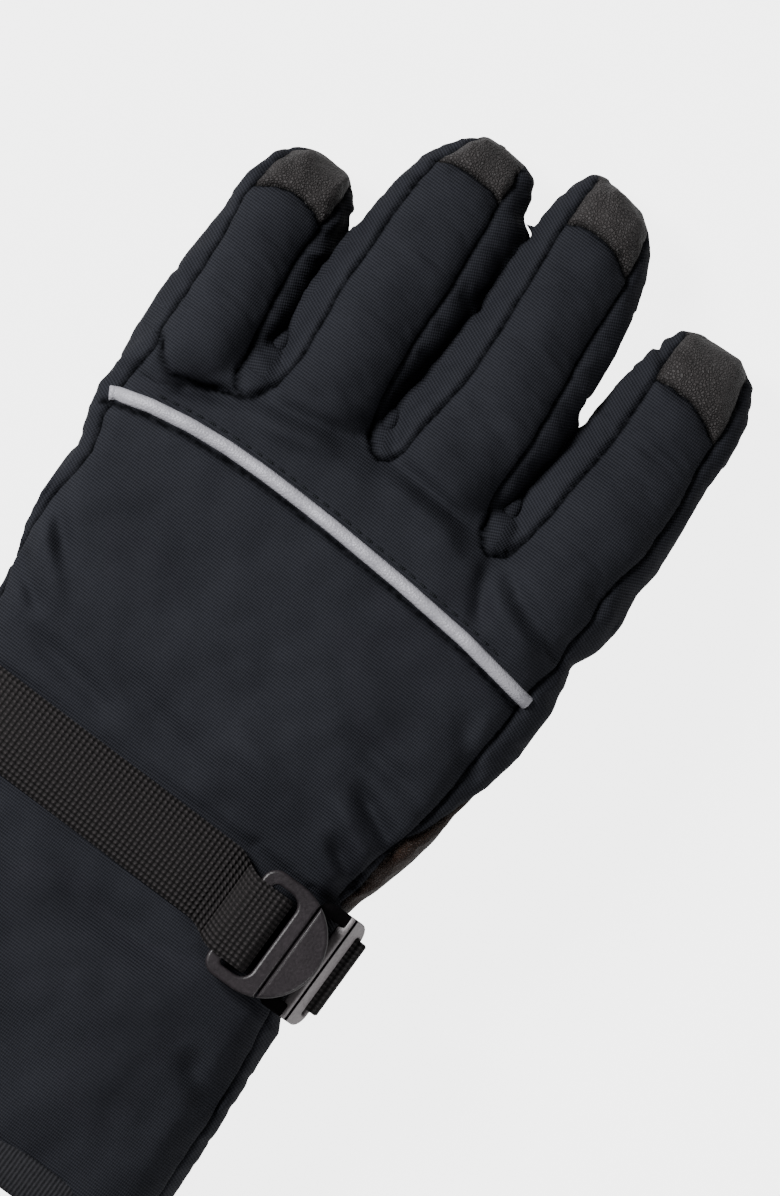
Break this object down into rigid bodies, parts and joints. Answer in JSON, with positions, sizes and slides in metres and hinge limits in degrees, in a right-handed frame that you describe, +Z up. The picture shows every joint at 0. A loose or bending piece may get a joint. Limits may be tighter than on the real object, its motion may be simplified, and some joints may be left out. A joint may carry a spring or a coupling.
{
  "type": "ski glove",
  "caption": "Padded left-hand ski glove with leather palm and fingertips, webbing wrist strap with a hook buckle, and a short gauntlet cuff; keeps a hand warm and dry on snow.",
  "frame": {"origin": "middle of the base: the centre of the glove's footprint on the surface it lies on", "axes": "+X to the index-finger side, +Y to the fingertips, +Z up to the back of the hand"},
  "size_m": [0.1326, 0.2722, 0.0578],
  "materials": {
    "shell_cloth": "dark woven nylon with a fine rib",
    "palm_leather": "dark brown-grey pebbled leather",
    "reflective_trim": "silver-grey reflective piping",
    "binding_tape": "plain dark binding",
    "padding": "white fibre padding",
    "lining_cloth": "dark brushed knit",
    "webbing": "dark ribbed nylon webbing",
    "buckle_plastic": "black-grey moulded plastic, slightly speckled"
  },
  "bodies": {
    "hand": {"knuckle_panel": "shell_cloth", "back_panel": "shell_cloth", "cuff_back_panel": "shell_cloth", "pinky_side_panel": "shell_cloth", "index_side_panel": "shell_cloth", "cuff_pinky_side_panel": "shell_cloth", "cuff_index_side_panel": "shell_cloth", "cuff_palm_panel": "shell_cloth", "palm_panel": "palm_leather", "reflective_piping": "reflective_trim", "hem_binding": "binding_tape", "hand_insulation": "padding", "hand_lining": "lining_cloth", "wrist_strap": "webbing", "side_strap": "webbing", "buckle_frame": "buckle_plastic"},
    "pinky": {"pinky_back_panel": "shell_cloth", "pinky_inner_wall": "shell_cloth", "pinky_outer_wall": "shell_cloth", "pinky_palm_panel": "palm_leather", "pinky_tip_cap": "palm_leather", "pinky_insulation": "padding", "pinky_lining": "lining_cloth"},
    "ring": {"ring_back_panel": "shell_cloth", "ring_inner_wall": "shell_cloth", "ring_outer_wall": "shell_cloth", "ring_palm_panel": "palm_leather", "ring_tip_cap": "palm_leather", "ring_insulation": "padding", "ring_lining": "lining_cloth"},
    "middle": {"middle_back_panel": "shell_cloth", "middle_inner_wall": "shell_cloth", "middle_outer_wall": "shell_cloth", "middle_palm_panel": "palm_leather", "middle_tip_cap": "palm_leather", "middle_insulation": "padding", "middle_lining": "lining_cloth"},
    "index": {"index_back_panel": "shell_cloth", "index_inner_wall": "shell_cloth", "index_outer_wall": "shell_cloth", "index_palm_panel": "palm_leather", "index_tip_cap": "palm_leather", "index_insulation": "padding", "index_lining": "lining_cloth"},
    "thumb": {"thumb_back_panel": "shell_cloth", "thumb_palm_panel": "palm_leather", "thumb_tip_cap": "palm_leather", "thumb_insulation": "padding", "thumb_lining": "lining_cloth"},
    "hook": {"buckle_hook": "buckle_plastic"}
  },
  "joints": [
    {"name": "pinky_flex", "type": "hinge", "parent": "hand", "child": "pinky", "pos_m": [-0.051, 0.04587, 0.02967], "axis": [-0.9962, 0, -0.0872], "range_deg": [-12, 55]},
    {"name": "ring_flex", "type": "hinge", "parent": "hand", "child": "ring", "pos_m": [-0.0205, 0.04587, 0.03234], "axis": [-0.9962, 0, -0.0872], "range_deg": [-12, 55]},
    {"name": "middle_flex", "type": "hinge", "parent": "hand", "child": "middle", "pos_m": [0.0129, 0.04587, 0.03526], "axis": [-0.9959, -0.0243, -0.0872], "range_deg": [-12, 55]},
    {"name": "index_flex", "type": "hinge", "parent": "hand", "child": "index", "pos_m": [0.0482, 0.04587, 0.03835], "axis": [-0.9962, -0.007, -0.0872], "range_deg": [-12, 55]},
    {"name": "thumb_swing", "type": "hinge", "parent": "hand", "child": "thumb", "pos_m": [0.0425, -0.00613, 0.009], "axis": [0, 0, -1], "range_deg": [0, 105]},
    {"name": "hook_lift", "type": "hinge", "parent": "hand", "child": "hook", "pos_m": [0.03485, -0.05343, 0.0536], "axis": [0, -1, 0], "range_deg": [0, 60]}
  ]
}
